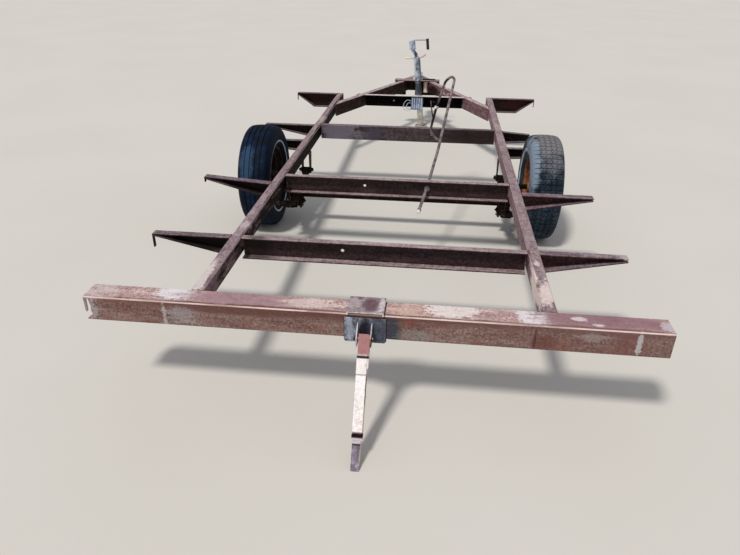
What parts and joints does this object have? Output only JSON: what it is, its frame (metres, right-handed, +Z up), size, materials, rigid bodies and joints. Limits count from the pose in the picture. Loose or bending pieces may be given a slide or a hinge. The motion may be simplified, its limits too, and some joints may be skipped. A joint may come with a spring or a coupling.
{
  "type": "boat trailer",
  "caption": "Old single-axle boat trailer frame with A-shaped tongue, ball coupler, jack, rear prop stand, leaf springs and tapering outriggers.",
  "frame": {"origin": "on the ground under the middle of the trailer's overall length and width, as it parks", "axes": "+Y forward to the coupler, +X to the right of someone who looks forward, +Z up"},
  "size_m": [2.134, 5.1934, 0.85],
  "materials": {
    "paint_rusted": "old red paint faded to pink and worn through to rust",
    "paint_grey": "weathered blue-grey paint, chipped",
    "box_painted": "pale blue-grey, dull",
    "steel_rusted": "brown rust",
    "steel_galvanised": "dull zinc, scratched",
    "wheel_rusted": "orange-brown rust over old paint",
    "rubber_black": "worn, blue-black",
    "rubber_dusty": "dusty grey"
  },
  "bodies": {
    "frame": {"axle": "steel_rusted", "bent_pipe": "steel_rusted", "coupler": "paint_rusted", "crossmember_1": "paint_rusted", "crossmember_2": "paint_rusted", "crossmember_3": "paint_rusted", "front_header": "paint_rusted", "hangers_left": "paint_rusted", "hangers_right": "paint_rusted", "jack_tube": "steel_galvanised", "junction_box": "box_painted", "outrigger_left_1": "paint_rusted", "outrigger_left_2": "paint_rusted", "outrigger_left_3": "paint_rusted", "outrigger_left_4": "paint_rusted", "outrigger_right_1": "paint_rusted", "outrigger_right_2": "paint_rusted", "outrigger_right_3": "paint_rusted", "outrigger_right_4": "paint_rusted", "rail_left": "paint_rusted", "rail_right": "paint_rusted", "rear_bumper": "paint_rusted", "shackle_left": "steel_rusted", "shackle_right": "steel_rusted", "spring_clamp_left": "steel_rusted", "spring_clamp_right": "steel_rusted", "spring_left": "steel_rusted", "spring_right": "steel_rusted", "stand_bracket": "paint_grey", "stand_cap": "paint_grey", "tongue_crossmember": "paint_rusted", "tongue_left": "paint_rusted", "tongue_right": "paint_rusted", "wheel_bracket_left": "paint_rusted", "wheel_bracket_right": "paint_rusted"},
    "wheel_left": {"wheel_left": "wheel_rusted", "tyre_left": "rubber_black"},
    "wheel_right": {"wheel_right": "wheel_rusted", "tyre_right": "rubber_dusty"},
    "coupler_latch": {"coupler_latch": "steel_rusted"},
    "jack_leg": {"jack_leg": "steel_rusted"},
    "jack_crank": {"jack_crank": "steel_galvanised"},
    "stand_sleeve": {"stand_sleeve": "paint_rusted"},
    "stand_leg": {"stand_leg": "paint_rusted"}
  },
  "joints": [
    {"name": "wheel_left_spin", "type": "hinge", "parent": "frame", "child": "wheel_left", "pos_m": [-0.861, -0.46634, 0.317], "axis": [1, 0, 0], "continuous": true},
    {"name": "wheel_right_spin", "type": "hinge", "parent": "frame", "child": "wheel_right", "pos_m": [0.861, -0.46634, 0.317], "axis": [1, 0, 0], "continuous": true},
    {"name": "coupler_latch_lift", "type": "hinge", "parent": "frame", "child": "coupler_latch", "pos_m": [0, 2.44866, 0.473], "axis": [-1, 0, 0], "range_deg": [0, 75]},
    {"name": "jack_leg_slide", "type": "slide", "parent": "frame", "child": "jack_leg", "axis": [-0.1045, 0, 0.9945], "range_m": [0, 0.16]},
    {"name": "jack_crank_turn", "type": "hinge", "parent": "frame", "child": "jack_crank", "pos_m": [-0.01442, 2.13066, 0.67432], "axis": [-0.1045, 0, 0.9945], "continuous": true},
    {"name": "stand_swing", "type": "hinge", "parent": "frame", "child": "stand_sleeve", "pos_m": [-0.004, -2.33134, 0.38], "axis": [-1, 0, 0], "range_deg": [0, 60]},
    {"name": "stand_leg_slide", "type": "slide", "parent": "stand_sleeve", "child": "stand_leg", "axis": [0, -0.5446, -0.8387], "range_m": [0, 0.12]}
  ]
}
